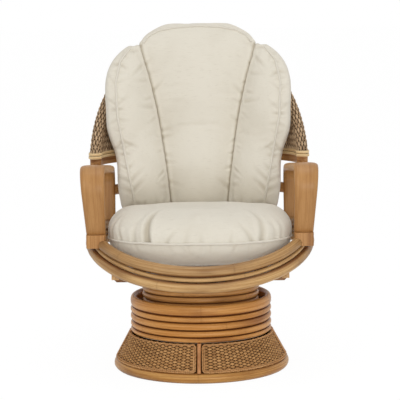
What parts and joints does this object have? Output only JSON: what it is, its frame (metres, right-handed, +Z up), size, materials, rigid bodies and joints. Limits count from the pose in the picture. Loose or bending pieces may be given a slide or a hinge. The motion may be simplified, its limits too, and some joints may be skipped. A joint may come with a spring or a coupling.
{
  "type": "swivel rocker chair",
  "caption": "Rattan armchair that turns and rocks on a woven drum base, with a barrel back, bent wooden arms and cream cushions.",
  "frame": {"origin": "on the swivel axis at floor level, the middle of the floor hoop's flat underside", "axes": "+Z up along the swivel axis, -Y the way the chair faces at rest, +X to the sitter's left"},
  "size_m": [0.724, 0.8381, 1.048],
  "materials": {
    "rattan_pole": "satin lacquered rattan pole",
    "woven_cane": "woven split cane, satin",
    "pale_cane": "peeled pale cane, satin",
    "bent_wood": "honey-brown laminated wood, satin lacquer",
    "frame_timber": "stained timber",
    "mechanism_steel": "black powder coat",
    "bright_steel": "zinc plated",
    "bearing_plastic": "nylon",
    "cushion_cloth": "cream cotton cloth"
  },
  "bodies": {
    "base": {"base_hoop": "rattan_pole", "skirt_panel_front": "woven_cane", "skirt_panel_right": "woven_cane", "skirt_panel_rear": "woven_cane", "skirt_panel_left": "woven_cane", "skirt_posts": "rattan_pole", "collar_hoop_lowest": "rattan_pole", "collar_hoop_lower": "rattan_pole", "collar_hoop_middle": "rattan_pole", "collar_hoop_upper": "rattan_pole", "collar_hoop_top": "rattan_pole", "base_bearer_long": "frame_timber", "base_bearer_cross": "frame_timber", "swivel_base_plate": "mechanism_steel", "swivel_thrust_ring": "bearing_plastic", "swivel_plate_bolts": "bright_steel"},
    "swivel_head": {"swivel_turn_plate": "mechanism_steel", "swivel_spindle": "bright_steel", "rocker_cradle": "mechanism_steel", "rocker_pivot_pin": "bright_steel", "rocker_springs_front": "bright_steel", "rocker_springs_rear": "bright_steel"},
    "seat": {"rocker_bracket": "mechanism_steel", "rocker_plate_bolts": "bright_steel", "inner_collar_hoop_1": "rattan_pole", "inner_collar_hoop_2": "rattan_pole", "inner_collar_hoop_3": "rattan_pole", "inner_collar_hoop_4": "rattan_pole", "seat_bearer_front": "frame_timber", "seat_bearer_rear": "frame_timber", "seat_side_board_left": "frame_timber", "seat_side_board_right": "frame_timber", "seat_slats": "frame_timber", "seat_hoop_lower": "rattan_pole", "seat_hoop_cane": "rattan_pole", "seat_hoop_upper": "rattan_pole", "arm_foot_left": "bent_wood", "arm_foot_right": "bent_wood", "arm_left": "bent_wood", "arm_right": "bent_wood", "back_post_left": "rattan_pole", "back_post_right": "rattan_pole", "back_mid_rail": "rattan_pole", "back_lower_rail": "frame_timber", "back_binding_cane": "pale_cane", "back_ribs": "rattan_pole", "back_arch_pole": "rattan_pole", "back_rim_wrap": "woven_cane", "back_skin_front": "woven_cane", "back_skin_rear": "woven_cane", "seat_cushion": "cushion_cloth", "back_cushion_centre": "cushion_cloth", "back_cushion_wing_left": "cushion_cloth", "back_cushion_wing_right": "cushion_cloth"}
  },
  "joints": [
    {"name": "seat_swivel", "type": "hinge", "parent": "base", "child": "swivel_head", "pos_m": [0, 0, 0.16], "axis": [0, 0, 1], "continuous": true},
    {"name": "seat_rock", "type": "hinge", "parent": "swivel_head", "child": "seat", "pos_m": [0, 0, 0.226], "axis": [-1, 0, 0], "range_deg": [-7, 12], "stiffness_Nm_per_rad": 600, "deforming": ["rocker_springs_front", "rocker_springs_rear"]}
  ]
}
